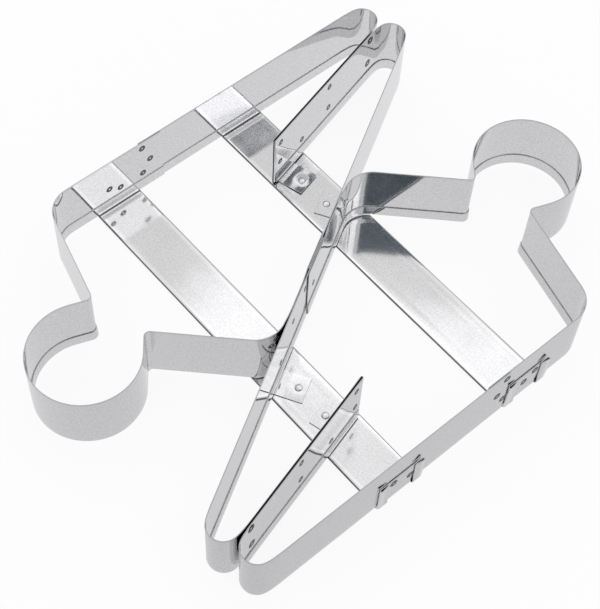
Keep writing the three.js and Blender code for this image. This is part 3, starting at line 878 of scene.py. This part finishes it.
def weld_mark(bm, spot, facing, size=1):
    """A low ring with a dished middle on the face of a sheet."""
    disc = bmesh.ops.create_circle(bm, cap_ends=True, segments=WELD_SIDES, radius=WELD_RADIUS)
    cap = list({f for v in disc["verts"] for f in v.link_faces})
    rings = [cap]
    for width, rise in WELD_STEPS:
        ring = bmesh.ops.inset_region(
            bm, faces=cap, thickness=width * MM, depth=rise * WELD_RING, use_boundary=True,
        )
        rings.append(ring["faces"])
    for face in cap:
        face.material_index = 1
    mark = {v for ring in rings for f in ring for v in f.verts}
    bmesh.ops.holes_fill(bm, edges=[e for e in bm.edges if e.is_boundary])
    turn = facing.to_track_quat("Z", "Y").to_matrix().to_4x4()
    matrix = Matrix.Translation(spot) @ turn @ Matrix.Scale(size, 4)
    bmesh.ops.transform(bm, matrix=matrix, verts=list(mark))


up = Vector((0, 0, 1))
right = Vector((1, 0, 0))
for half in "ab":
    bm = bmesh.new()
    for y, z in SIDE_WELDS:
        weld_mark(bm, Vector((SIDE_INNER_FACE, y, z)) * MM, right, INNER_MARK)
        weld_mark(bm, Vector((SIDE_OUTER_FACE, y, z)) * MM, -right, OUTER_MARK)
    for y, z in TAB_WELDS:
        weld_mark(bm, Vector((TAB_OUTER_FACE, y, z)) * MM, -right, OUTER_MARK)
    for run, z, size in SLIT_WELDS:
        for side in (1, -1):
            out_by = slit_face * side * SLIT_OUTER_FACE * MM
            spot = SLIT_END + slit_way * run * MM + out_by + up * z * MM
            weld_mark(bm, spot, slit_face * side, size)
    for run, inset, z in WALL_WELDS:
        spot = -wall_way * run * MM - wall_face * inset * MM + up * z * MM
        weld_mark(bm, spot, -wall_face)
    for spot, facing in ARM_WELDS:
        weld_mark(bm, Vector(spot) * MM, Vector(facing))
    squeeze_wall(bm)
    press_slit(bm)
    if half == "b":
        bmesh.ops.rotate(bm, verts=bm.verts, cent=(0, 0, 0), matrix=half_turn)
    hand_worked(bm)
    bmesh.ops.recalc_face_normals(bm, faces=bm.faces)
    for face in bm.faces:
        face.smooth = True
    mesh = bpy.data.meshes.new(f"weld_marks_{half}")
    bm.to_mesh(mesh)
    bm.free()
    mesh.set_sharp_from_angle(angle=WELD_SHARP_ANGLE)
    mesh.materials.append(weld_tin)
    mesh.materials.append(strip_tin)
    piece = bpy.data.objects.new(f"weld_marks_{half}", mesh)
    bpy.context.scene.collection.objects.link(piece)
    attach(piece, "root")

# Table and light
# A white table in a white room with soft lights overhead. Metal shows what is around it, so three
# slate grey cards above, one of them behind the lens, give the tin the dark streaks of a real room.
TABLE_SIZE = 200
TABLE_LEVEL = -0.05 * MM
TABLE_WHITE = "FAFAFA"
TABLE_NEAR = "D5D5D6"
TABLE_FAR = "F3F3F4"
TABLE_PURE_SHARE = 0.9
TABLE_AWAY = (-0.93, 0.38, 0)
TABLE_FADE_REACH = 150 * MM
ROOM_LEVEL = 0.87


def flat_sheet(name, centre, length, width, turn, material):
    """A thin level sheet, such as the table top or a card overhead."""
    mesh = bpy.data.meshes.new(name)
    bm = bmesh.new()
    bm.loops.layers.uv.new("sheet")
    bmesh.ops.create_grid(bm, x_segments=1, y_segments=1, size=0.5, calc_uvs=True)
    bmesh.ops.scale(bm, verts=bm.verts, vec=(length, width, 1))
    sheet_turn = Matrix.Rotation(math.radians(turn), 3, "Z")
    bmesh.ops.rotate(bm, verts=bm.verts, cent=(0, 0, 0), matrix=sheet_turn)
    bmesh.ops.translate(bm, verts=bm.verts, vec=centre)
    bm.to_mesh(mesh)
    bm.free()
    mesh.materials.append(material)
    sheet = bpy.data.objects.new(name, mesh)
    bpy.context.scene.collection.objects.link(sheet)
    return sheet


# White laminate: the lens sees it white with a little of its own shade, and so the cutter's shadow.
# Metal and glass see the same table, a little greyer, with a painted shade that makes it less bright
# on the side of the lens.
table_white, out = blank_material("white_laminate_table")
rays = add_node(table_white, "ShaderNodeLightPath")
seen = add_node(
    table_white, "ShaderNodeMath", [(0, rays.outputs["Is Camera Ray"])],
    operation="MULTIPLY", inputs={1: TABLE_PURE_SHARE},
)
for ray in ("Is Glossy Ray", "Is Transmission Ray"):
    seen = add_node(
        table_white, "ShaderNodeMath", [(0, seen.outputs[0]), (1, rays.outputs[ray])],
        operation="MAXIMUM",
    )
# Painted shade: towards the lens the table is darker, for the shade cast from that side.
place = add_node(table_white, "ShaderNodeTexCoord")
away = add_node(
    table_white, "ShaderNodeVectorMath", [(0, place.outputs["Object"])],
    operation="DOT_PRODUCT", inputs={1: TABLE_AWAY},
)
away = add_node(
    table_white, "ShaderNodeMapRange", [("Value", away.outputs["Value"])],
    inputs={"From Min": -TABLE_FADE_REACH, "From Max": TABLE_FADE_REACH},
)
pale = add_node(
    table_white, "ShaderNodeMix", [("Factor", away.outputs["Result"])], data_type="RGBA",
    inputs={"A": linear(TABLE_NEAR), "B": linear(TABLE_FAR)},
)
pale = add_node(
    table_white, "ShaderNodeMix",
    [("Factor", rays.outputs["Is Camera Ray"]), ("A", pale.outputs["Result"])],
    data_type="RGBA", inputs={"B": (1, 1, 1, 1)},
)
matt = add_node(table_white, "ShaderNodeBsdfDiffuse", inputs={"Color": linear(TABLE_WHITE)})
glow = add_node(
    table_white, "ShaderNodeEmission", [("Color", pale.outputs["Result"])], inputs={"Strength": 1},
)
both = add_node(
    table_white, "ShaderNodeMixShader",
    [(0, seen.outputs[0]), (1, matt.outputs["BSDF"]), (2, glow.outputs["Emission"])],
)
table_white.node_tree.links.new(both.outputs["Shader"], out.inputs["Surface"])
flat_sheet("table", (0, 0, TABLE_LEVEL), TABLE_SIZE, TABLE_SIZE, 0, table_white)

world = bpy.data.worlds.new("white_room")
bpy.context.scene.world = world
world.use_nodes = True
world.node_tree.nodes.clear()
out = add_node(world, "ShaderNodeOutputWorld")
room = add_node(
    world, "ShaderNodeBackground", inputs={"Color": (1, 1, 1, 1), "Strength": ROOM_LEVEL},
)
world.node_tree.links.new(room.outputs["Background"], out.inputs["Surface"])

# Each row is a lamp, its place over the table, its length and width in metres, its turn and watts.
LIGHT_LEVEL = 1.25
LIGHTS = [
    ("strip_light", (-0.46, 0.56), 0.5, 0.17, 37, 0.15),
    ("fill_light", (-0.34, 0.42), 0.2, 0.14, 0, 0.021),
    ("window_light", (0.02, 0.62), 0.46, 0.18, 0, 0.143),
    ("side_light", (0.7, 0.52), 0.48, 0.56, 0, 0.58),
    ("left_light", (-1.08, 0.18), 0.45, 0.45, 0, 1.13),
    ("back_light", (0.3, 1.06), 0.4, 0.3, 0, 0.238),
]
for name, spot, length, width, turn, power in LIGHTS:
    lamp = bpy.data.lights.new(name, "AREA")
    lamp.shape = "RECTANGLE"
    lamp.size = length
    lamp.size_y = width
    lamp.energy = power
    lamp_object = bpy.data.objects.new(name, lamp)
    lamp_object.location = (*spot, LIGHT_LEVEL)
    lamp_object.rotation_euler = (0, 0, math.radians(turn))
    bpy.context.scene.collection.objects.link(lamp_object)

CARD_LEVEL = 1.2
CARD_SLATE = "48535B"
CARD_FADED = "7E878D"
CARD_FADE = (0.33, 0.55)
CARDS = [
    ("card_behind_lens", (0.72, -0.42), 0.76, 0.42, 55),
    ("card_at_side", (0.612, 0.655), 0.12, 0.13, 0),
    ("card_at_back", (0.28, 0.95), 0.1, 0.1, 0),
]

# Slate grey card: a flat, dull paper that only the metal sees, faded to a lighter grey on one side.
card_grey, out = blank_material("slate_grey_card")
place = add_node(card_grey, "ShaderNodeTexCoord")
side = add_node(card_grey, "ShaderNodeSeparateXYZ", [("Vector", place.outputs["UV"])])
faded = add_node(
    card_grey, "ShaderNodeMapRange", [("Value", side.outputs["Y"])],
    inputs={"From Min": CARD_FADE[0], "From Max": CARD_FADE[1]},
)
shade = add_node(
    card_grey, "ShaderNodeMix", [("Factor", faded.outputs["Result"])], data_type="RGBA",
    inputs={"A": linear(CARD_SLATE), "B": linear(CARD_FADED)},
)
grey = add_node(card_grey, "ShaderNodeBsdfDiffuse", [("Color", shade.outputs["Result"])])
card_grey.node_tree.links.new(grey.outputs["BSDF"], out.inputs["Surface"])
for name, spot, length, width, turn in CARDS:
    card = flat_sheet(name, (*spot, CARD_LEVEL), length, width, turn, card_grey)
    card.visible_camera = False
    card.visible_diffuse = False

# Camera
# The lens stands where the camera of the photograph stood, in front of the cutter to the right
# and above it, and is rolled a little.
CAMERA_PLACE = Vector((0.24595, -0.24266, 0.53606))
CAMERA_AIM = Vector((0.00032, -0.00764, 0))
CAMERA_ROLL = math.radians(3.63)
CAMERA_SENSOR = 36
CAMERA_LENS = 88.53
lens = bpy.data.cameras.new("camera")
lens.sensor_fit = "HORIZONTAL"
lens.sensor_width = CAMERA_SENSOR
lens.lens = CAMERA_LENS
camera = bpy.data.objects.new("camera", lens)
aim = (CAMERA_AIM - CAMERA_PLACE).to_track_quat("-Z", "Y")
camera.location = CAMERA_PLACE
camera.rotation_euler = (aim @ Quaternion((0, 0, 1), CAMERA_ROLL)).to_euler()
bpy.context.scene.collection.objects.link(camera)
bpy.context.scene.camera = camera

bpy.context.scene.view_settings.view_transform = "Standard"
